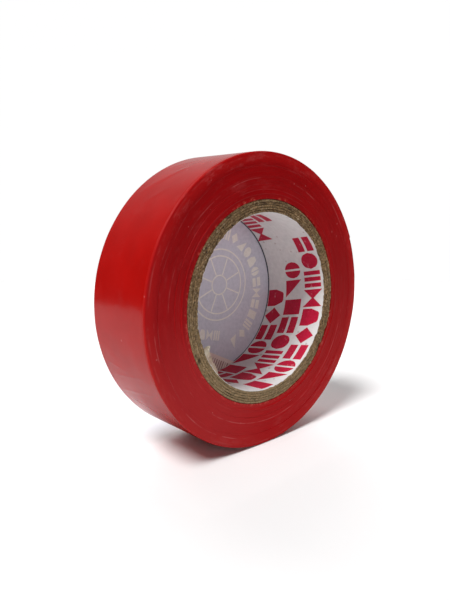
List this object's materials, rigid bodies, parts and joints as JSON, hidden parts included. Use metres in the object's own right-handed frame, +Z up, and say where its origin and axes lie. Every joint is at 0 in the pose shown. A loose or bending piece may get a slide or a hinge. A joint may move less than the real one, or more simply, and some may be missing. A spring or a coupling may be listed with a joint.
{
  "type": "electrical tape roll",
  "caption": "Roll of glossy red PVC electrical tape on a spiral-wound chipboard core with a printed paper liner, a peelable free end and a round paper label over one side.",
  "frame": {"origin": "centre of the roll: on its axis, midway between the two sides of the tape", "axes": "+Y along the roll's axis, from the open end of the bore towards the labelled side; +Z up with the roll standing on its tread, so the floor is 31.4 mm below the origin"},
  "size_m": [0.0625, 0.0182, 0.0627],
  "materials": {
    "red_vinyl": "gloss",
    "brown_chipboard": "matte",
    "white_liner_paper": "satin",
    "lilac_label_paper": "satin"
  },
  "bodies": {
    "roll": {"tape_winding": "red_vinyl", "core_ply_1": "brown_chipboard", "core_ply_2": "brown_chipboard", "core_ply_3": "brown_chipboard", "core_ply_4": "brown_chipboard", "core_ply_5": "brown_chipboard", "core_liner": "white_liner_paper", "label_disc": "lilac_label_paper"},
    "free_end": {"tape_free_end": "red_vinyl"}
  },
  "joints": [
    {"name": "free_end_peel", "type": "hinge", "parent": "roll", "child": "free_end", "pos_m": [0.0148, 0, 0.02769], "axis": [0, -1, 0], "range_deg": [0, 90]}
  ]
}
